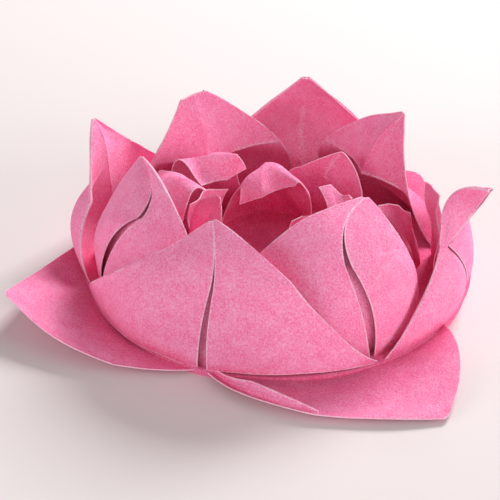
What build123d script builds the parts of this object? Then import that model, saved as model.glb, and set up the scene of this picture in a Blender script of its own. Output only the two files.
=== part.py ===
from build123d import *

import math
import os
from dataclasses import dataclass

# Origami lotus flower, folded from one square sheet of soft pink paper.
# Millimetres. Z is up, the table is z = 0, the origin is the middle of the underside.
# Places on the flower are written (azimuth in degrees, radius, height).
# Azimuth 270 is the front of the flower, azimuth 0 its right.

# Paper and folds
paper_thickness = 0.3
fold_gap = 0.2            # between the two layers at a folded edge
pocket_depth = 1.3        # between the two layers of a petal, behind its slit
tip_width = 1.2           # blunt end of every folded point
panel_facets = 3          # flat facets across and up each quarter of a sheet
fold_facets = 2           # flat facets around a folded edge
rim_facets = 5            # flat facets of the stack's rim from foot to foot
fold_width = paper_thickness + fold_gap

# Stack of flat layers under the flower
base_thickness = 1.2
base_margin = 0.8         # stack reaches this far beyond the feet of the outer petals
petal_root = 0.9          # petals and flaps run into the stack at this height
leaf_root = 0.4           # leaves run into it lower down
leaf_hold = 1.5           # length of a leaf held in the stack
ring_step = 2.0           # inner ring of petals stands this much inside the outer ring

# Soft forms, from the foot of a petal to its tip
soft_swell = (0.24, 0.8, 0.64, 0.32, 0.0)
no_swell = (0.0,) * 5
plain_slit = (0.6, 0.6, 0.6, 0.6, 0.3)


@dataclass
class Kite:
    """A petal, leaf or flap by its three lines, each from the foot up. Near is the side of lower azimuth.

    A line is three or five places. An edge that lacks its last place ends at the blunt tip.
    """
    middle: tuple
    near: tuple
    far: tuple
    near_swell: tuple = soft_swell    # half of the sheet bellied out, from the foot up
    far_swell: tuple = soft_swell
    near_dip: float = 0.0             # trough in the near half
    far_hem: tuple = (0.0, 0.0)       # foot of the far half, moved outward and upward
    far_hollow: float = 0.0           # inner layer set back behind that foot
    slit: tuple = plain_slit          # width of the slit, from the foot up


# Feet of the petals on the outer ring. The corners of a petal sit at the feet of its neighbours.
front = (247.5, 44.5)
front_right = (294.5, 42.5)
right = (337.0, 38.5)
back_right = (385.0, 38.0)
back = (430.0, 42.0)
back_left = (475.0, 42.0)
left = (517.0, 42.0)
front_left = (556.0, 42.0)
feet = (front, front_right, right, back_right, back, back_left, left, front_left)


def outer(foot, turn=0.0):
    """A foot or corner on the outer ring."""
    return (foot[0] + turn, foot[1], petal_root)


def inner(foot, turn=0.0, inset=ring_step):
    """A foot or corner on the inner ring."""
    return (foot[0] + turn, foot[1] - inset, petal_root)


def hinge(foot, turn=0.0):
    """Where a leaf runs into the stack."""
    return (foot[0] + turn, foot[1] + base_margin - leaf_hold, leaf_root)


def floor(azimuth, radius):
    """Where a flap stands on the stack."""
    return (azimuth, radius, petal_root)


outer_petals = {
    "front": Kite(
        (outer(front), (248.5, 44.8, 10.2), (250.2, 44.0, 19.3), (249.5, 40.8, 25.1), (245.0, 35.3, 29.0)),
        (outer(front_left, -360), (222.0, 44.5, 16.5)),
        (outer(front_right), (282.4, 42.8, 8.7), (270.2, 43.3, 21.8), (259.3, 39.5, 27.2)),
        far_hem=(1.8, 1.3), far_hollow=1.6, slit=(1.8, 1.35, 0.8, 0.35, 0.3)),
    "right": Kite(
        (outer(right, 1.7), (340.0, 39.0, 6.0), (324.5, 38.7, 17.6),
         (335.5, 40.0, 20.8), (334.0, 44.0, 28.3)),
        (outer(front_right, 1.5), (309.0, 41.2, 10.2), (320.5, 38.6, 19.0), (334.5, 36.0, 24.8)),
        (outer(back_right), (372.0, 37.5, 8.0), (357.5, 36.8, 15.5), (346.0, 38.5, 22.5)),
        slit=(1.0, 1.0, 0.8, 0.6, 0.3)),
    "back": Kite(
        (outer(back), (436.0, 43.0, 14.0), (442.4, 36.0, 26.5)),
        (outer(back_right, 22), (414.0, 41.0, 8.5)),
        (outer(back_left), (468.0, 41.0, 9.5))),
    "left": Kite(
        (outer(left), (520.0, 41.5, 15.5), (521.0, 43.3, 27.0)),
        (outer(back_left, 3), (496.0, 42.0, 11.5)),
        (outer(front_left), (548.5, 43.5, 8.0), (540.0, 41.0, 15.0), (531.0, 41.7, 21.3)),
        far_swell=(0.8, 3.2, 1.0, 0.5, 0.0)),
}

inner_petals = {
    "front_right": Kite(
        (inner(front_right, -1), (291.2, 41.5, 11.9), (286.5, 39.3, 21.9),
         (288.0, 33.5, 27.4), (301.4, 28.1, 29.4)),
        (inner(front, 2, 4.5), (264.0, 34.0, 25.0)),
        (inner(right, -22), (310.0, 36.5, 18.5)),
        slit=(0.6, 1.5, 0.9, 0.35, 0.3)),
    "back_right": Kite(
        (inner(back_right), (398.0, 31.5, 7.5), (405.0, 24.8, 13.0),
         (400.5, 27.2, 20.5), (394.3, 30.5, 27.0)),
        (inner(right, 28, 6.0), (380.0, 28.0, 11.5)),
        (inner(back, 0, 3.2), (433.0, 33.0, 13.0))),
    "back_left": Kite(
        (inner(back_left, 0, 3.0), (483.0, 35.5, 7.0), (487.0, 29.2, 12.5),
         (487.5, 31.0, 20.0), (487.7, 33.2, 27.0)),
        (inner(back, 20, 5.2), (452.0, 33.0, 12.0)),
        (inner(left), (507.0, 34.5, 14.0))),
    "front_left": Kite(
        (inner(front_left), (568.0, 40.0, 15.7), (577.0, 37.0, 24.1),
         (572.5, 32.0, 28.0), (553.5, 30.5, 29.4)),
        (inner(left, 15), (547.5, 37.0, 18.0)),
        (inner(front, 358), (592.0, 34.3, 26.0)),
        slit=(0.9, 1.6, 1.2, 0.4, 0.3)),
}

# Leaves lie under the petals. The lip is the edge of the front right leaf, turned up.
leaves = {
    "front_left": Kite(
        (hinge(front_left), (561.0, 52.0, 4.0), (563.5, 61.7, 8.0)),
        (hinge(left), (544.0, 48.5, 3.2)),
        (hinge(front, 360), (600.5, 48.6, 1.6), (591.0, 53.8, 2.4), (578.6, 58.1, 4.7))),
    "front_right": Kite(
        (hinge(front_right), (296.0, 53.0, 1.6), (297.0, 64.0, 1.0)),
        (hinge(front), (260.0, 51.8, 2.2), (273.7, 57.2, 2.0), (285.7, 60.5, 1.4)),
        (hinge(right, -14), (311.0, 50.5, 3.0)),
        near_dip=0.7),
    "front_right_lip": Kite(
        ((249.4, 42.6, 0.8), (254.5, 47.4, 1.8), (260.9, 51.0, 3.0),
         (267.7, 54.0, 2.9), (275.2, 56.6, 1.6)),
        ((249.0, 42.8, 0.4), (254.2, 47.3, 1.0), (260.5, 51.0, 1.5),
         (267.3, 54.0, 1.7), (275.0, 56.6, 1.3)),
        ((249.8, 42.4, 1.2), (254.8, 47.2, 2.6), (261.3, 50.6, 4.4),
         (268.0, 53.7, 4.0), (275.3, 56.4, 1.9)),
        near_swell=no_swell, far_swell=no_swell),
    "back_right": Kite(
        (hinge(back_right, 16), (405.0, 43.3, 1.8), (408.5, 46.5, 2.5)),
        (hinge(back_right, 2), (398.0, 42.0, 1.5)),
        (hinge(back, -8), (416.0, 44.8, 2.2)),
        near_swell=no_swell, far_swell=no_swell),
    "back_left": Kite(
        (hinge(back_left), (475.0, 50.0, 1.4), (475.0, 58.0, 2.5)),
        (hinge(back), (456.0, 50.0, 1.2)),
        (hinge(left), (494.0, 50.0, 1.2))),
}

# Small points of the last folds around the hollow. Some stand, some are folded over towards it.
flaps = {
    "back": Kite(
        (floor(100, 20), (105.0, 16.5, 15.4), (122.0, 10.5, 10.8)),
        (floor(62, 13), (70.0, 11.0, 12.0), (79.0, 10.4, 13.0)),
        (floor(140, 19), (133.0, 14.5, 12.5), (142.0, 12.6, 9.8))),
    "back_right": Kite(
        (floor(50, 20.5), (52.0, 21.0, 9.0), (53.5, 20.8, 17.6)),
        (floor(14, 19), (36.0, 20.6, 10.0)),
        (floor(84, 22), (70.0, 22.0, 12.5))),
    "back_left": Kite(
        (floor(130, 25), (138.0, 23.0, 17.0), (135.0, 18.5, 13.0)),
        (floor(112, 22), (125.0, 19.0, 16.8), (121.0, 16.4, 15.0)),
        (floor(158, 27), (148.0, 28.0, 16.0), (155.0, 20.0, 14.0))),
    "left": Kite(
        (floor(172, 27), (174.0, 25.0, 16.8), (170.0, 17.5, 16.3)),
        (floor(150, 31), (156.0, 29.7, 16.0), (168.0, 18.0, 16.0)),
        (floor(195, 24), (190.0, 21.5, 16.0), (172.0, 17.2, 16.0))),
    "hollow_side": Kite(
        (floor(162, 19), (160.0, 19.0, 8.5), (159.0, 18.5, 13.7)),
        (floor(146, 18.5), (146.0, 17.5, 7.0), (139.0, 16.4, 12.0)),
        (floor(180, 20), (178.0, 20.3, 8.0), (176.0, 20.5, 13.5))),
    "front_left": Kite(
        (floor(204, 22), (204.0, 20.0, 10.0), (206.1, 15.6, 20.0)),
        (floor(188, 20), (191.0, 19.5, 15.0)),
        (floor(232, 22), (222.0, 18.0, 12.0))),
    "right": Kite(
        (floor(322, 21), (326.0, 13.5, 14.0), (346.0, 9.2, 20.3)),
        (floor(304, 22), (310.0, 14.5, 13.0), (335.0, 7.1, 20.0)),
        (floor(344, 20), (345.0, 15.0, 14.0), (339.0, 14.0, 18.0))),
    "front": Kite(
        (floor(276, 26), (277.0, 25.0, 14.0), (277.0, 22.6, 24.4)),
        (floor(262, 26), (265.0, 25.5, 14.0), (271.3, 23.6, 24.0)),
        (floor(292, 26), (288.0, 24.0, 14.0), (282.5, 21.7, 24.0))),
    "far_right": Kite(
        (floor(348, 27), (345.0, 25.0, 12.0), (333.0, 22.8, 20.4)),
        (floor(332, 27), (330.0, 24.0, 12.0), (331.0, 20.9, 20.0)),
        (floor(362, 28), (352.0, 26.0, 12.0), (334.4, 24.5, 20.0))),
    "right_lining": Kite(
        (floor(348, 32.5), (349.0, 31.3, 14.0), (350.5, 30.0, 21.5)),
        (floor(334, 33.5), (337.0, 33.0, 14.0), (341.0, 32.4, 22.5)),
        (floor(362, 31.5), (361.0, 29.8, 12.0), (358.5, 28.3, 20.0))),
}


def placed(station):
    """A station (azimuth, radius, height) as a point."""
    turn = math.radians(station.X)
    return Vector(station.Y * math.cos(turn), station.Y * math.sin(turn), station.Z)


def stations(places):
    """Five stations up a line, on the smooth line through three places where only three are given."""
    given = [Vector(*place) for place in places]
    if len(given) == 5:
        return given
    a, b, c = given
    low = a * 0.375 + b * 0.75 - c * 0.125
    high = c * 0.375 + b * 0.75 - a * 0.125
    return [a, low, b, high, c]


def tip_side(kite):
    """From the middle of the blunt tip to its far side, along the petal's width below it."""
    across = Vector(*kite.far[-1]) - Vector(*kite.near[-1])
    round_about = math.radians(across.X) * kite.middle[-1][1]
    return across * (tip_width / 2 / math.hypot(round_about, across.Y, across.Z))


def edge_stations(places, blunt_end):
    """Stations of an edge. It runs to its own end, or to its side of the blunt tip."""
    if len(places) in (2, 4):
        places = (*places, tuple(blunt_end))
    return stations(places)


def half_way(centre, edge, swell):
    """The line up the middle of a half, bellied out."""
    return [(a + b) / 2 + Vector(0, out, 0) for a, b, out in zip(centre, edge, swell)]


def face_rows(kite, far_hem=(0.0, 0.0)):
    """Near edge, near half, middle line, far half and far edge, row by row."""
    middle = stations(kite.middle)
    near = edge_stations(kite.near, middle[-1] - tip_side(kite))
    far = edge_stations(kite.far, middle[-1] + tip_side(kite))
    near_half = half_way(middle, near, kite.near_swell)
    far_half = half_way(middle, far, kite.far_swell)
    near_half[1] -= Vector(0, 0, kite.near_dip)
    near_half[2] -= Vector(0, 0, kite.near_dip)
    far_half[0] += Vector(0, *far_hem)
    far_half[1] += Vector(0, *far_hem) / 3
    lines = (near, near_half, middle, far_half, far)
    return [[placed(line[j]) for line in lines] for j in range(5)]


def normals(rows):
    """Unit normals at the points of a net."""
    height, width = len(rows), len(rows[0])
    out = []
    for j in range(height):
        up, down = rows[min(j + 1, height - 1)], rows[max(j - 1, 0)]
        out.append([])
        for i in range(width):
            across = rows[j][min(i + 1, width - 1)] - rows[j][max(i - 1, 0)]
            out[j].append(across.cross(up[i] - down[i]).normalized())
    return out


def petal_rows(kite):
    """A petal as one sheet: half, fold, inner layer, fold, half."""
    plain = face_rows(kite)
    hemmed = face_rows(kite, kite.far_hem)
    rows = []
    for j, (face, out) in enumerate(zip(plain, normals(plain))):
        deep = fold_width if j == 4 else pocket_depth
        half_deep = (fold_width + deep) / 2
        depths = [fold_width, half_deep, deep, half_deep, fold_width]
        if j == 0:
            out = [Vector(n.X, n.Y, 0).normalized() for n in out]
            depths[3] += kite.far_hollow
        inside = [p - n * d for p, n, d in zip(face, out, depths)]
        lip = (face[3] - face[1]).normalized() * (kite.slit[j] / 2)
        edge_near = (plain[min(j + 1, 4)][0] - plain[max(j - 1, 0)][0]).normalized()
        edge_far = (plain[min(j + 1, 4)][4] - plain[max(j - 1, 0)][4]).normalized()
        fold_near = (face[0] + inside[0]) / 2 - edge_near.cross(out[0]) * (fold_width / 2)
        fold_far = (face[4] + inside[4]) / 2 + edge_far.cross(out[4]) * (fold_width / 2)
        rows.append([
            face[2] - lip, face[1], face[0], fold_near, *inside,
            fold_far, face[4], hemmed[j][3], face[2] + lip])
    return rows


def refined(line, counts):
    """Points along smooth stretches of a line, each stretch through three points."""
    points = []
    for stretch, count in enumerate(counts):
        start, middle, end = line[2 * stretch:2 * stretch + 3]
        for step in range(count):
            t = step / count
            shares = (2 * t - 1) * (t - 1), 4 * t * (1 - t), (2 * t - 1) * t
            points.append(start * shares[0] + middle * shares[1] + end * shares[2])
    return [*points, line[-1]]


def finer(rows, across):
    """A net with more points between its joints."""
    up = [panel_facets] * (len(rows) // 2)
    columns = zip(*[refined(row, across) for row in rows])
    return list(zip(*[refined(column, up) for column in columns]))


def facet(*corners):
    return Face(Wire.make_polygon(corners, close=True))


def facet_pair(a, b, c, d):
    """A four-sided patch as two facets, parted along its shorter diagonal."""
    if (c - a).length < (d - b).length:
        return [facet(a, b, c), facet(a, c, d)]
    return [facet(a, b, d), facet(b, c, d)]


def sheet_solid(rows):
    """One folded sheet of paper over a net of points."""
    reach = paper_thickness / 2
    pairs = list(zip(rows, normals(rows)))
    top = [[p + n * reach for p, n in zip(*pair)] for pair in pairs]
    under = [[p - n * reach for p, n in zip(*pair)] for pair in pairs]
    last_row, last = len(rows) - 1, len(rows[0]) - 1
    faces = []
    for side in (top, under):
        for low, high in zip(side, side[1:]):
            for i in range(last):
                faces += facet_pair(low[i], low[i + 1], high[i + 1], high[i])
    rim = [(0, i) for i in range(last)] + [(j, last) for j in range(last_row)]
    rim += [(last_row, i) for i in range(last, 0, -1)] + [(j, 0) for j in range(last_row, 0, -1)]
    for (j, i), (k, m) in zip(rim, rim[1:] + rim[:1]):
        faces.append(facet(top[j][i], top[k][m], under[k][m]))
        faces.append(facet(top[j][i], under[k][m], under[j][i]))
    return Solid(Shell(faces))


# Stack of flat layers, its rim bowed from foot to foot.
rim = []
for here, there in zip(feet, (*feet[1:], (front[0] + 360, front[1]))):
    for step in range(rim_facets):
        way = (Vector(*there, 0) - Vector(*here, 0)) * (step / rim_facets)
        rim.append(placed(Vector(*here, 0) + way + Vector(0, base_margin, 0)))
lotus = extrude(facet(*rim), base_thickness)

# The sheets are joined to it.
petal_across = [panel_facets, fold_facets, panel_facets, panel_facets, fold_facets, panel_facets]
leaf_across = [panel_facets, panel_facets]
petals = (*outer_petals.values(), *inner_petals.values())
sheets = [finer(petal_rows(k), petal_across) for k in petals]
sheets += [finer(face_rows(k), leaf_across) for k in (*leaves.values(), *flaps.values())]
lotus = lotus.fuse(*[sheet_solid(rows) for rows in sheets])

os.makedirs("parts", exist_ok=True)
export_step(lotus, "parts/folded_lotus.step")
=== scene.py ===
import math
from dataclasses import dataclass

import bpy
import numpy as np
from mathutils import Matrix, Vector


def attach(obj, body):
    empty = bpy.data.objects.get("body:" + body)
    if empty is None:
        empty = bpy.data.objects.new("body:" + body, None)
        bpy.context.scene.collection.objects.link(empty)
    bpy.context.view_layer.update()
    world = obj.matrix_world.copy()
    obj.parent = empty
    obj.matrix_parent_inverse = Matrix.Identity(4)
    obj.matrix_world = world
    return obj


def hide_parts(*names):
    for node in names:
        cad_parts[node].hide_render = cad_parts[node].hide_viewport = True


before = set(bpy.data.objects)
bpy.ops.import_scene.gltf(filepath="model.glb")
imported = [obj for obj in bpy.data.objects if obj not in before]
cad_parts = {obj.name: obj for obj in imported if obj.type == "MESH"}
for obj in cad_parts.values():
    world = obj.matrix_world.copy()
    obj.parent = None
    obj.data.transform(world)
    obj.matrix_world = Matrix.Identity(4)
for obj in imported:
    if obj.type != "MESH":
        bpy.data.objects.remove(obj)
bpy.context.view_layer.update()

# Lotus flower folded from one square sheet of soft pink paper.
# The sheets are reckoned in millimetres and set into the scene in metres.
# Places on the flower are (azimuth in degrees, radius, height). Azimuth 270 is the front, 0 the right.
mm = 0.001

# Paper and folds
paper_thickness = 0.22
fold_gap = 0.1            # between the two layers at a folded edge
pocket_depth = 1.3        # between the two layers of a petal, behind its slit
tip_width = 1.2           # blunt end of every folded point
fold_width = paper_thickness + fold_gap

# Fineness of the meshes
petal_steps = 46          # across and up each half of a petal, closest at its edges
leaf_steps = 24           # across and up each half of a leaf or flap
fold_steps = 6            # around a folded edge
rim_steps = 10            # of the stack's rim from foot to foot
ring_count = 60           # rings of the stack's top, from the rim inward
inmost_ring = 0.01        # share of the way out to the rim

# Stack of flat layers under the flower
base_thickness = 1.2
base_margin = 0.8         # stack reaches this far beyond the feet of the outer petals
petal_root = 0.9          # petals and flaps run into the stack at this height
leaf_root = 0.4           # leaves run into it lower down
leaf_hold = 1.5           # length of a leaf held in the stack
ring_step = 2.0           # inner ring of petals stands this much inside the outer ring
layer_rise = 0.5          # of the four folded layers that meet in the middle
layer_edge = 0.88         # they start at this share of the way out to the rim
layer_slope = 0.125       # and rise over this share
seam_width = 0.7          # they round down to each other over this distance

# Soft forms, from the foot of a petal to its tip
soft_swell = (0.24, 0.8, 0.64, 0.32, 0.0)
tucked_swell = (1.5, 3.0, 0.2, 0.3, 0.0)
no_swell = (0.0,) * 5
plain_slit = (0.6, 0.6, 0.6, 0.6, 0.3)

# Depth and length of the waves of soft handling in the paper
petal_waves = (0.22, 15.0)
leaf_waves = (0.15, 18.0)
flap_waves = (0.5, 7.5)
wave_count = 14
wave_share = 0.25         # each wave takes this share of the depth

# Creases
crease_width = 0.6        # a crease's ridge dies away over this distance
worn_crease_height = 0.1
worn_crease_steps = 12    # straight stretches in which it follows the sheet
handling_crease_height = 0.12
handling_crease_count = 8
crease_wear = 0.14        # a worn crease counts as this far from an edge
crease_spread = 0.25      # and each millimetre beside it as this much further
past_wear = 9.0           # distance at which nothing is worn

# Finishes
deep_pink = (0.92, 0.18, 0.39)
plain_pink = (0.97, 0.285, 0.505)
pale_pink = (0.99, 0.42, 0.64)
worn_pink = (0.98, 0.66, 0.79)
# Painted shade: deep red laid into the paper's colour in the hollow and under the petals
painted_shade_pink = (0.80, 0.06, 0.22)
table_white = (0.80, 0.735, 0.73)
sky_white = (1.0, 0.94, 0.935)


@dataclass
class Kite:
    """A petal, leaf or flap by its three lines, each from the foot up. Near is the side of lower azimuth.

    A line is three or five places. An edge that lacks its last place ends at the blunt tip.
    """
    middle: tuple
    near: tuple
    far: tuple
    near_swell: tuple = soft_swell    # half of the sheet bellied out, from the foot up
    far_swell: tuple = soft_swell
    near_dip: float = 0.0             # trough in the near half
    near_hem: tuple = (0.0, 0.0)      # foot of the near half, moved outward and upward
    far_hem: tuple = (0.0, 0.0)       # foot of the far half, moved likewise
    far_hollow: float = 0.0           # inner layer set back behind the far foot
    slit: tuple = plain_slit          # width of the slit, from the foot up
    pocket: float = pocket_depth      # depth behind the slit


# Feet of the petals on the outer ring. The corners of a petal sit at the feet of its neighbours.
front = (247.5, 44.5)
front_right = (294.5, 42.5)
right = (337.0, 38.5)
back_right = (385.0, 38.0)
back = (430.0, 42.0)
back_left = (475.0, 42.0)
left = (517.0, 42.0)
front_left = (556.0, 42.0)
feet = (front, front_right, right, back_right, back, back_left, left, front_left)


def outer(foot, turn=0.0):
    """A foot or corner on the outer ring."""
    return (foot[0] + turn, foot[1], petal_root)


def inner(foot, turn=0.0, inset=ring_step):
    """A foot or corner on the inner ring."""
    return (foot[0] + turn, foot[1] - inset, petal_root)


def hinge(foot, turn=0.0):
    """Where a leaf runs into the stack."""
    return (foot[0] + turn, foot[1] + base_margin - leaf_hold, leaf_root)


def floor(azimuth, radius):
    """Where a flap stands on the stack."""
    return (azimuth, radius, petal_root)


outer_petals = {
    "front": Kite(
        (outer(front), (248.5, 44.8, 10.2), (250.2, 44.0, 19.3), (249.5, 40.8, 25.1), (245.0, 35.3, 29.0)),
        (outer(front_left, -360), (222.0, 44.5, 16.5)),
        (outer(front_right), (282.4, 42.8, 8.7), (270.2, 43.3, 21.8), (259.3, 39.5, 27.2)),
        near_hem=(1.0, 0.8), far_hem=(2.4, 2.2), far_hollow=1.6,
        slit=(1.9, 1.4, 0.7, 0.06, 0.02), pocket=1.0),
    "right": Kite(
        (outer(right, 1.7), (340.0, 39.0, 6.0), (324.5, 38.7, 17.6),
         (335.5, 40.0, 20.8), (334.0, 44.0, 28.3)),
        (outer(front_right, 1.5), (309.0, 41.2, 10.2), (320.5, 38.6, 19.0), (334.5, 36.0, 24.8)),
        (outer(back_right), (372.0, 37.5, 8.0), (357.5, 36.8, 15.5), (346.0, 38.5, 22.5)),
        slit=(1.0, 1.0, 0.8, 0.6, 0.3)),
    "back": Kite(
        (outer(back), (436.0, 43.0, 14.0), (442.4, 36.0, 26.5)),
        (outer(back_right, 22), (414.0, 41.0, 8.5)),
        (outer(back_left), (468.0, 41.0, 9.5))),
    "left": Kite(
        (outer(left), (520.0, 41.5, 15.5), (521.0, 43.3, 27.0)),
        (outer(back_left, 3), (496.0, 42.0, 11.5)),
        (outer(front_left), (548.5, 43.5, 8.0), (540.0, 41.0, 15.0), (531.0, 41.7, 21.3)),
        far_swell=(0.8, 3.2, 1.0, 0.5, 0.0)),
}

inner_petals = {
    "front_right": Kite(
        (inner(front_right, -1), (291.2, 41.5, 11.9), (286.5, 39.3, 21.9),
         (288.0, 33.5, 27.4), (301.4, 28.1, 29.4)),
        (inner(front, 2, 4.5), (264.0, 34.0, 25.0)),
        (inner(right, -22), (310.0, 36.5, 18.5)),
        slit=(0.8, 2.3, 1.4, 0.12, 0.02), pocket=1.6),
    "back_right": Kite(
        (inner(back_right), (398.0, 31.5, 7.5), (405.0, 24.8, 13.0),
         (400.5, 27.2, 20.5), (394.3, 30.5, 27.0)),
        (inner(right, 28, 6.0), (380.0, 28.0, 11.5)),
        (inner(back, 0, 3.2), (433.0, 33.0, 13.0)),
        near_swell=tucked_swell, far_swell=tucked_swell),
    "back_left": Kite(
        (inner(back_left, 0, 3.0), (483.0, 35.5, 7.0), (487.0, 29.2, 12.5),
         (487.5, 31.0, 20.0), (487.7, 33.2, 27.0)),
        (inner(back, 20, 5.2), (452.0, 33.0, 12.0), (482.8, 33.2, 26.9)),
        (inner(left), (507.0, 34.5, 14.0), (492.8, 33.2, 26.6)),
        near_swell=tucked_swell, far_swell=tucked_swell),
    "front_left": Kite(
        (inner(front_left), (568.0, 40.0, 15.7), (577.0, 37.0, 24.1),
         (572.5, 32.0, 28.0), (553.5, 30.5, 29.4)),
        (inner(left, 15), (547.5, 37.0, 18.0)),
        (inner(front, 358), (592.0, 34.3, 26.0)),
        slit=(1.0, 2.2, 1.6, 0.12, 0.02), pocket=1.6),
}

# Leaves lie under the petals. The lip is the edge of the front right leaf, turned up.
leaves = {
    "front_left": Kite(
        (hinge(front_left), (561.0, 52.0, 4.0), (563.5, 61.7, 8.0)),
        (hinge(left), (544.0, 48.5, 3.2)),
        (hinge(front, 360), (600.5, 48.6, 1.6), (591.0, 53.8, 2.4), (578.6, 58.1, 4.7))),
    "front_right": Kite(
        (hinge(front_right), (296.0, 53.0, 1.6), (297.0, 64.0, 1.0)),
        (hinge(front), (260.0, 51.8, 2.2), (273.7, 57.2, 2.0), (285.7, 60.5, 1.4)),
        (hinge(right, -14), (311.0, 50.5, 3.0)),
        near_dip=1.3),
    "front_right_lip": Kite(
        ((249.4, 42.6, 0.8), (254.5, 47.4, 1.8), (260.9, 51.0, 3.0),
         (267.7, 54.0, 2.9), (275.2, 56.6, 1.6)),
        ((249.0, 42.8, 0.4), (254.2, 47.3, 1.0), (260.5, 51.0, 1.5),
         (267.3, 54.0, 1.7), (275.0, 56.6, 1.3)),
        ((249.8, 42.4, 1.2), (254.8, 47.2, 2.6), (261.3, 50.6, 4.4),
         (268.0, 53.7, 4.0), (275.3, 56.4, 1.9)),
        near_swell=no_swell, far_swell=no_swell),
    "back_right": Kite(
        (hinge(back_right, 16), (405.0, 43.3, 1.8), (408.5, 46.5, 2.5)),
        (hinge(back_right, 2), (398.0, 42.0, 1.5)),
        (hinge(back, -8), (416.0, 44.8, 2.2)),
        near_swell=no_swell, far_swell=no_swell),
    "back_left": Kite(
        (hinge(back_left), (475.0, 50.0, 1.4), (475.0, 58.0, 2.5)),
        (hinge(back), (456.0, 50.0, 1.2)),
        (hinge(left), (494.0, 50.0, 1.2))),
}

# Small points of the last folds around the hollow. Some stand, some are folded over towards it.
flaps = {
    "back": Kite(
        (floor(100, 20), (105.0, 16.5, 15.4), (122.0, 10.5, 10.8)),
        (floor(62, 13), (70.0, 11.0, 12.0), (79.0, 10.4, 13.0)),
        (floor(140, 19), (133.0, 14.5, 12.5), (142.0, 12.6, 9.8))),
    "back_right": Kite(
        (floor(50, 20.5), (52.0, 21.0, 9.0), (53.5, 20.8, 17.6)),
        (floor(14, 19), (24.0, 19.8, 5.0), (34.5, 20.2, 9.7), (42.8, 20.6, 14.4)),
        (floor(96, 23), (90.0, 22.5, 8.6), (81.5, 22.3, 11.2), (69.6, 21.8, 14.2)),
        near_swell=no_swell, far_swell=no_swell),
    "back_left": Kite(
        (floor(130, 25), (138.0, 23.0, 17.0), (135.0, 18.5, 13.0)),
        (floor(112, 22), (125.0, 19.0, 16.8), (121.0, 16.4, 15.0)),
        (floor(158, 27), (148.0, 28.0, 16.0), (155.0, 20.0, 14.0))),
    "left": Kite(
        (floor(172, 27), (174.0, 25.0, 16.8), (170.0, 17.5, 16.3)),
        (floor(150, 31), (156.0, 29.7, 16.0), (168.0, 18.0, 16.0)),
        (floor(195, 24), (190.0, 21.5, 16.0), (172.0, 17.2, 16.0))),
    "hollow_side": Kite(
        (floor(162, 19), (160.0, 19.0, 8.5), (159.0, 18.5, 13.7)),
        (floor(146, 18.5), (146.0, 17.5, 7.0), (139.0, 16.4, 12.0)),
        (floor(180, 20), (178.0, 20.3, 8.0), (176.0, 20.5, 13.5))),
    "front_left": Kite(
        (floor(204, 22), (204.0, 20.0, 10.0), (206.1, 15.6, 20.0)),
        (floor(188, 20), (191.0, 19.5, 15.0)),
        (floor(232, 22), (222.0, 18.0, 12.0))),
    "right": Kite(
        (floor(322, 21), (326.0, 13.5, 14.0), (346.0, 9.2, 20.3)),
        (floor(304, 22), (310.0, 14.5, 13.0), (335.0, 7.1, 20.0)),
        (floor(344, 20), (345.0, 15.0, 14.0), (339.0, 14.0, 18.0))),
    "front": Kite(
        (floor(276, 26), (277.0, 25.0, 14.0), (277.0, 22.6, 24.4)),
        (floor(262, 26), (265.0, 25.5, 14.0), (271.3, 23.6, 24.0)),
        (floor(292, 26), (288.0, 24.0, 14.0), (282.5, 21.7, 24.0))),
    "far_right": Kite(
        (floor(348, 27), (345.0, 25.0, 12.0), (333.0, 22.8, 20.4)),
        (floor(332, 27), (330.0, 24.0, 12.0), (331.0, 20.9, 20.0)),
        (floor(362, 28), (352.0, 26.0, 12.0), (334.4, 24.5, 20.0))),
    "right_lining": Kite(
        (floor(348, 32.5), (349.0, 31.3, 14.0), (350.5, 30.0, 21.5)),
        (floor(334, 33.5), (337.0, 33.0, 14.0), (341.0, 32.4, 22.5)),
        (floor(362, 31.5), (361.0, 29.8, 12.0), (358.5, 28.3, 20.0))),
}


def placed(places):
    """Places (azimuth, radius, height) as points."""
    turn = np.radians(places[..., 0])
    reach = places[..., 1]
    return np.stack([reach * np.cos(turn), reach * np.sin(turn), places[..., 2]], -1)


def stations(places):
    """Five stations up a line, on the smooth line through three places where only three are given."""
    given = np.array(places, float)
    if len(given) == 5:
        return given
    start, middle, end = given
    lower = start * 0.375 + middle * 0.75 - end * 0.125
    upper = end * 0.375 + middle * 0.75 - start * 0.125
    return np.array([start, lower, middle, upper, end])


def tip_side(kite):
    """From the middle of the blunt tip to its far side, along the petal's width below it."""
    across = np.subtract(kite.far[-1], kite.near[-1])
    round_about = math.radians(across[0]) * kite.middle[-1][1]
    return across * (tip_width / 2 / math.hypot(round_about, across[1], across[2]))


def edge_stations(places, blunt_end):
    """Stations of an edge. It runs to its own end, or to its side of the blunt tip."""
    if len(places) in (2, 4):
        places = (*places, blunt_end)
    return stations(places)


def half_way(centre, edge, swell, hem):
    """The line up the middle of a half, bellied out and its foot moved."""
    line = (centre + edge) / 2
    line[:, 1] += swell
    line[0, 1:] += hem
    line[1, 1:] += np.array(hem) / 3
    return line


def face_net(kite, near_hem=(0.0, 0.0), far_hem=(0.0, 0.0)):
    """Near edge, near half, middle line, far half and far edge, row by row."""
    middle = stations(kite.middle)
    near = edge_stations(kite.near, middle[-1] - tip_side(kite))
    far = edge_stations(kite.far, middle[-1] + tip_side(kite))
    near_half = half_way(middle, near, kite.near_swell, near_hem)
    far_half = half_way(middle, far, kite.far_swell, far_hem)
    near_half[1:3, 2] -= kite.near_dip
    return placed(np.stack([near, near_half, middle, far_half, far], 1))


def unit(vectors):
    """Vectors made one long."""
    return vectors / np.maximum(np.linalg.norm(vectors, axis=-1, keepdims=True), 1e-9)


def normals(net):
    """Unit normals at the points of a net."""
    return unit(np.cross(np.gradient(net, axis=1), np.gradient(net, axis=0)))


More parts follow.
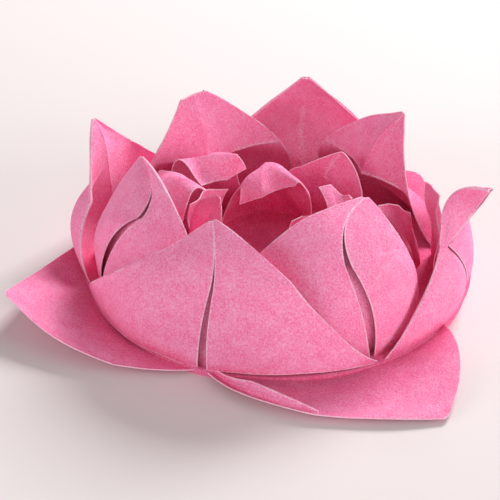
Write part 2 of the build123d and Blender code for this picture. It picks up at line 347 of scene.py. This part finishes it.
def petal_net(kite):
    """A petal as one sheet: half, fold, inner layer, fold, half."""
    plain = face_net(kite)
    hemmed = face_net(kite, kite.near_hem, kite.far_hem)
    out = normals(plain)
    out[0, :, 2] = 0
    out = unit(out)
    deep = np.array([kite.pocket] * 4 + [fold_width])
    shallow = np.full(5, fold_width)
    half_deep = (deep + shallow) / 2
    depths = np.stack([shallow, half_deep, deep, half_deep, shallow], 1)
    depths[0, 3] += kite.far_hollow
    inside = plain - out * depths[..., None]
    lip = unit(plain[:, 3] - plain[:, 1]) * np.array(kite.slit)[:, None] / 2
    climb = unit(np.gradient(plain, axis=0))
    bulge = np.cross(climb, out) * fold_width / 2
    near_fold = (plain[:, 0] + inside[:, 0]) / 2 - bulge[:, 0]
    far_fold = (plain[:, 4] + inside[:, 4]) / 2 + bulge[:, 4]
    columns = [plain[:, 2] - lip, hemmed[:, 1], plain[:, 0], near_fold, *inside.swapaxes(0, 1)]
    columns += [far_fold, plain[:, 4], hemmed[:, 3], plain[:, 2] + lip]
    return np.stack(columns, 1)


def spread(count):
    """Shares of a stretch, closer together at its ends."""
    return (1 - np.cos(np.pi * np.arange(count) / count)) / 2


def refined(net, counts, axis):
    """More points along smooth stretches of a net, each through three points."""
    lines = np.moveaxis(net, axis, 0)
    parts = []
    for stretch, count in enumerate(counts):
        t = spread(count).reshape(-1, *[1] * (lines.ndim - 1))
        start, middle, end = lines[2 * stretch:2 * stretch + 3]
        parts.append(start * (2 * t - 1) * (t - 1) + middle * 4 * t * (1 - t) + end * (2 * t - 1) * t)
    return np.moveaxis(np.concatenate([*parts, lines[-1:]]), 0, axis)


def from_edges(net, edge_columns, foot):
    """Distance of each point from the nearest folded or cut edge of its sheet."""
    steps = np.linalg.norm(np.diff(net, axis=1), axis=-1)
    run = np.concatenate([np.zeros((len(net), 1)), np.cumsum(steps, 1)], 1)
    rise = np.linalg.norm(np.diff(net, axis=0), axis=-1)
    climb = np.concatenate([np.zeros((1, net.shape[1])), np.cumsum(rise, 0)])
    nearest = np.min([np.abs(run - run[:, [c]]) for c in edge_columns], 0)
    nearest = np.minimum(nearest, climb[-1] - climb)
    return np.minimum(nearest, climb) if foot else nearest


# Waves of soft handling, the same for all sheets
chance = np.random.default_rng(11)
wave_turns = unit(chance.normal(size=(wave_count, 3)))
wave_starts = chance.uniform(0, 2 * np.pi, wave_count)


def softened(net, waves):
    """A sheet with gentle waves of this depth and length."""
    depth, length = waves
    turns = wave_turns * (2 * np.pi / length)
    rises = np.sin(net @ turns.T + wave_starts).sum(-1) * depth * wave_share
    return net + normals(net) * rises[..., None]


def point_at(net, across, up):
    """The point of a sheet at these shares across and up it."""
    place = np.array([up, across]) * (np.array(net.shape[:2]) - 1)
    row, column = np.minimum(place.astype(int), np.array(net.shape[:2]) - 2)
    high, wide = place - (row, column)
    below = net[row, column] * (1 - wide) + net[row, column + 1] * wide
    above = net[row + 1, column] * (1 - wide) + net[row + 1, column + 1] * wide
    return below * (1 - high) + above * high


def creased(net, lines, height, steps=1):
    """A sheet with creases raised along lines, and how far from them each point is.

    A line is its two ends as shares across and up the sheet. It follows the sheet in this many steps.
    """
    nearest = np.full(net.shape[:2], past_wear)
    for line in np.array(lines, float).reshape(-1, 2, 2):
        ends = [point_at(net, *(line[0] + (line[1] - line[0]) * n / steps)) for n in range(steps + 1)]
        away = np.full(net.shape[:2], past_wear)
        for start, end in zip(ends, ends[1:]):
            along = end - start
            share = np.clip((net - start) @ along / max(along @ along, 1e-6), 0, 1)
            away = np.minimum(away, np.linalg.norm(net - start - share[..., None] * along, axis=-1))
        net = net + normals(net) * (height * np.exp(-away / crease_width))[..., None]
        nearest = np.minimum(nearest, away)
    return net, nearest


def handling_lines(count):
    """Ends of a few creases left by handling, clear of the sheet's edges."""
    low, high, longest = 0.02, 0.98, 0.3
    starts = chance.uniform(low, high, (count, 2))
    ends = starts + chance.uniform(-longest, longest, (count, 2))
    return np.clip(np.hstack([starts, ends]), low, high)


# Creases whose ridges are worn pale: shares across and up the sheet, at one end and the other
worn_creases = {
    "outer_petal_back": ((0.585, 0.08, 0.579, 0.7),),
    "inner_petal_back_left": ((0.29, 0.5, 0.4, 0.5), (0.4, 0.5, 0.5, 0.5)),
    "inner_petal_back_right": ((0.34, 0.5, 0.5, 0.5), (0.5, 0.5, 0.7, 0.5)),
    "flap_back_right": ((0.79, 0.87, 0.73, 0.48),),
}


def sheet_mesh(name, net, edge_columns, foot=False):
    """One sheet of paper over a net of points, closed all round, with its creases."""
    net, from_crease = creased(net, worn_creases.get(name, ()), worn_crease_height, worn_crease_steps)
    net, _ = creased(net, handling_lines(handling_crease_count), handling_crease_height)
    out = normals(net) * paper_thickness / 2
    rows, columns = net.shape[:2]
    count = rows * columns
    points = np.concatenate([(net + out).reshape(-1, 3), (net - out).reshape(-1, 3)]) * mm
    index = np.arange(count).reshape(rows, columns)
    corners = [index[:-1, :-1], index[:-1, 1:], index[1:, 1:], index[1:, :-1]]
    top = np.stack(corners, -1).reshape(-1, 4)
    around = np.concatenate([index[0, :-1], index[:-1, -1], index[-1, :0:-1], index[:0:-1, 0]])
    following = np.roll(around, -1)
    rim = np.stack([around, around + count, following + count, following], -1)
    faces = np.concatenate([top, top[:, ::-1] + count, rim])
    mesh = bpy.data.meshes.new(name)
    mesh.from_pydata(points.tolist(), [], faces.tolist())
    mesh.polygons.foreach_set("use_smooth", np.arange(len(faces)) < 2 * len(top))
    worn = from_crease * crease_spread + crease_wear
    set_from_edge(mesh, np.tile(np.minimum(from_edges(net, edge_columns, foot), worn).reshape(-1), 2))
    return mesh


def set_from_edge(mesh, distances):
    """Keeps each point's distance from an edge, for the paper's worn edges."""
    mesh.attributes.new("from_edge", "FLOAT", "POINT").data.foreach_set("value", distances)


def paper_piece(mesh):
    """A piece of the flower in the pink paper."""
    piece = bpy.data.objects.new(mesh.name, mesh)
    bpy.context.scene.collection.objects.link(piece)
    mesh.materials.append(pink_paper)
    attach(piece, "root")
    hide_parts("folded_lotus")


class Socket:
    """A socket of a material. Sums and products of sockets add the nodes that work them out."""

    def __init__(self, tree, socket=None):
        self.tree = tree
        self.socket = socket

    def node(self, kind, settings, values, output=0):
        """Any node: its type, its settings, the values or links of its sockets."""
        made = self.tree.nodes.new(kind)
        for key, value in settings.items():
            if key == "stops":
                ramp = made.color_ramp.elements
                while len(ramp) < len(value):
                    ramp.new(0.5)
                for stop, (place, colour) in zip(ramp, value):
                    stop.position = place
                    stop.color = (*colour, 1)
            else:
                setattr(made, key, value)
        for key, value in values.items():
            if isinstance(value, Socket):
                self.tree.links.new(value.socket, made.inputs[key])
            else:
                made.inputs[key].default_value = value
        return Socket(self.tree, made.outputs[output] if len(made.outputs) else None)

    def maths(self, operation, first, second):
        """Two values worked together."""
        return self.node("ShaderNodeMath", {"operation": operation}, {0: first, 1: second})

    def __add__(self, other):
        return self.maths("ADD", self, other)

    def __sub__(self, other):
        return self.maths("SUBTRACT", self, other)

    def __mul__(self, other):
        return self.maths("MULTIPLY", self, other)

    def __radd__(self, other):
        return self.maths("ADD", other, self)

    def __rsub__(self, other):
        return self.maths("SUBTRACT", other, self)

    def __rmul__(self, other):
        return self.maths("MULTIPLY", other, self)


def new_material(name):
    """A material with its nodes cleared, and a start for its sockets."""
    material = bpy.data.materials.new(name)
    material.use_nodes = True
    material.node_tree.nodes.clear()
    return material, Socket(material.node_tree)


def shown(start, shader):
    """Puts a shader on the surface."""
    start.node("ShaderNodeOutputMaterial", {}, {"Surface": shader})


def mixed(start, share, first, second):
    """Two colours mixed."""
    values = {"Factor": share, 6: first, 7: second}
    return start.node("ShaderNodeMix", {"data_type": "RGBA"}, values, 2)


def fading(start, value, none, full):
    """A share that grows smoothly while a value goes from one limit to the other."""
    limits = {"Value": value, "From Min": none, "From Max": full}
    return start.node("ShaderNodeMapRange", {"interpolation_type": "SMOOTHSTEP"}, limits)


def noise(start, place, scale, detail, roughness):
    """Fine or coarse unevenness, about 0.5."""
    values = {"Vector": place, "Scale": scale, "Detail": detail, "Roughness": roughness}
    return start.node("ShaderNodeTexNoise", {}, values)


def make_pink_paper():
    """Soft fibrous paper, worn pale along its edges, with painted shade in deeper red low in the hollow
    and on the leaves close under the petals.
    """
    material, start = new_material("pink_paper")
    place = start.node("ShaderNodeTexCoord", {}, {}, "Object")
    cloud = noise(start, place, 300, 3.0, 0.6)
    fibre = noise(start, place, 2600, 2.0, 0.7)
    tone = cloud * 0.25 + fibre * 0.75
    colours = [(0.36, deep_pink), (0.50, plain_pink), (0.64, pale_pink)]
    paper = start.node("ShaderNodeValToRGB", {"stops": colours}, {"Fac": tone})

    # Painted shade: deeper red low down in the hollow, and on the leaves close under the petals
    across = start.node("ShaderNodeVectorMath", {"operation": "MULTIPLY"}, {0: place, 1: (1, 1, 0)})
    reach = start.node("ShaderNodeVectorMath", {"operation": "LENGTH"}, {0: across}, "Value")
    height = start.node("ShaderNodeSeparateXYZ", {}, {"Vector": place}, "Z")
    inward = fading(start, reach, 38 * mm, 33 * mm)
    shade_in_hollow = inward * fading(start, height, 13 * mm, 3 * mm)
    shade_under_petals = fading(start, reach, 56 * mm, 46 * mm) * fading(start, height, 4.0 * mm, 1.3 * mm)
    painted_shade_share = shade_in_hollow + shade_under_petals * (1 - inward) * 0.7
    paper = mixed(start, painted_shade_share * (1.2 - tone), paper, (*painted_shade_pink, 1))

    # Worn along folds, cut edges and worn creases
    edge = start.node("ShaderNodeAttribute", {"attribute_name": "from_edge"}, {}, "Fac")
    ragged = edge - (fibre - 0.5) * 0.7
    wear = fading(start, ragged, 0.36, 0.06) * (cloud * 0.8 + 0.3)
    colour = mixed(start, wear, paper, (*worn_pink, 1))

    nap = start.node("ShaderNodeBump", {}, {"Strength": 0.6, "Distance": 0.4 * mm, "Height": tone})
    values = {"Base Color": colour, "Roughness": 0.9, "Specular IOR Level": 0.1, "Normal": nap}
    shown(start, start.node("ShaderNodeBsdfPrincipled", {}, values))
    return material


pink_paper = make_pink_paper()


def add_petals(ring, petals, foot):
    """The petals of a ring. Where the foot shows, it is worn too."""
    across = [petal_steps, fold_steps, petal_steps, petal_steps, fold_steps, petal_steps]
    fold = petal_steps + fold_steps // 2
    edge_columns = (0, fold, -1 - fold, -1)
    for name, kite in petals.items():
        net = refined(refined(petal_net(kite), across, 1), [petal_steps] * 2, 0)
        paper_piece(sheet_mesh(f"{ring}_petal_{name}", softened(net, petal_waves), edge_columns, foot))


def add_single_sheets(kind, kites, waves):
    """Leaves or flaps, each one layer of paper."""
    for name, kite in kites.items():
        net = refined(refined(face_net(kite), [leaf_steps] * 2, 1), [leaf_steps] * 2, 0)
        paper_piece(sheet_mesh(f"{kind}_{name}", softened(net, waves), (0, -1)))


def base_mesh():
    """Stack of flat layers, its rim bowed from foot to foot. Four folded layers meet in its middle."""
    rim = []
    for here, there in zip(feet, (*feet[1:], (front[0] + 360, front[1]))):
        for step in range(rim_steps):
            rim.append([h + (t - h) * step / rim_steps for h, t in zip(here, there)])
    rim = np.array(rim)
    rim[:, 1] += base_margin
    count = len(rim)
    rings = np.linspace(1.0, inmost_ring, ring_count)
    top = np.stack([np.stack([rim[:, 0], rim[:, 1] * share, np.zeros(count)], -1) for share in rings])
    points = placed(top)
    seams = np.radians([foot[0] for foot in (front_right, back_right, back_left, front_left)])
    turns = np.radians(top[..., 0])[..., None] - seams
    aside = np.where(np.cos(turns) > 0, np.abs(np.sin(turns)), 1.0).min(-1) * top[..., 1]
    inside = np.clip((layer_edge - rings) / layer_slope, 0, 1)[:, None]
    points[..., 2] = base_thickness + layer_rise * inside * (1 - np.exp(-aside / seam_width))
    underside = points[0] * (1, 1, 0)
    points = np.concatenate([underside, points.reshape(-1, 3)]) * mm
    index = np.arange(len(points)).reshape(-1, count)
    following = np.roll(index, -1, axis=1)
    walls = np.stack([index[:-1], following[:-1], following[1:], index[1:]], -1).reshape(-1, 4)
    mesh = bpy.data.meshes.new("base_layers")
    mesh.from_pydata(points.tolist(), [], [*walls.tolist(), index[0, ::-1].tolist(), index[-1].tolist()])
    smooth = np.arange(len(walls) + 2) >= count
    smooth[-2] = False
    mesh.polygons.foreach_set("use_smooth", smooth)
    set_from_edge(mesh, np.full(len(points), past_wear))
    return mesh


add_petals("outer", outer_petals, foot=True)
add_petals("inner", inner_petals, foot=False)
add_single_sheets("leaf", leaves, leaf_waves)
add_single_sheets("flap", flaps, flap_waves)
paper_piece(base_mesh())


def make_table_white():
    """Plain pale finish of the table."""
    material, start = new_material("table_white")
    values = {"Base Color": (*table_white, 1), "Roughness": 0.9}
    shown(start, start.node("ShaderNodeBsdfPrincipled", {}, values))
    return material


def table(half):
    """Plain pale table, reaching this far each way in metres."""
    mesh = bpy.data.meshes.new("table")
    corners = [(-half, -half, 0), (half, -half, 0), (half, half, 0), (-half, half, 0)]
    mesh.from_pydata(corners, [], [(0, 1, 2, 3)])
    mesh.materials.append(make_table_white())
    top = bpy.data.objects.new("table", mesh)
    bpy.context.scene.collection.objects.link(top)


def direction(azimuth, elevation):
    """From the flower towards this azimuth and elevation."""
    turn = math.radians(azimuth)
    rise = math.radians(elevation)
    return Vector((math.cos(rise) * math.cos(turn), math.cos(rise) * math.sin(turn), math.sin(rise)))


def lamp(name, azimuth, elevation, distance, size, power):
    """A soft square lamp turned to the flower, in metres and watts."""
    light = bpy.data.lights.new(name, "AREA")
    light.size = size
    light.energy = power
    thing = bpy.data.objects.new(name, light)
    thing.location = direction(azimuth, elevation) * distance
    thing.rotation_euler = direction(azimuth, elevation).to_track_quat("Z", "Y").to_euler()
    bpy.context.scene.collection.objects.link(thing)


def sky(strength):
    """Even light from all round."""
    world = bpy.data.worlds.new("sky")
    world.use_nodes = True
    light = world.node_tree.nodes["Background"].inputs
    light["Color"].default_value = (*sky_white, 1)
    light["Strength"].default_value = strength
    bpy.context.scene.world = world


def camera(target, azimuth, elevation, distance, focal_length):
    """The viewpoint, by the place in millimetres that it looks at."""
    towards_eye = direction(azimuth, elevation)
    lens = bpy.data.cameras.new("camera")
    lens.sensor_width = 36
    lens.lens = focal_length
    lens.clip_start = 0.01
    eye = bpy.data.objects.new("camera", lens)
    eye.location = (Vector(target) + towards_eye * distance) * mm
    eye.rotation_euler = towards_eye.to_track_quat("Z", "Y").to_euler()
    bpy.context.scene.collection.objects.link(eye)
    bpy.context.scene.camera = eye


table(half=1.5)
lamp("window", azimuth=62, elevation=38, distance=0.9, size=0.35, power=8.8)
lamp("left_fill", azimuth=205, elevation=12, distance=1.0, size=0.7, power=5.0)
lamp("right_fill", azimuth=333, elevation=12, distance=1.0, size=0.7, power=7.2)
lamp("front_fill", azimuth=272, elevation=30, distance=1.0, size=0.5, power=1.0)
sky(strength=0.24)
camera(target=(-7.7, -19.6, 15.0), azimuth=270, elevation=31, distance=380, focal_length=136.8)
bpy.context.scene.view_settings.view_transform = "Standard"
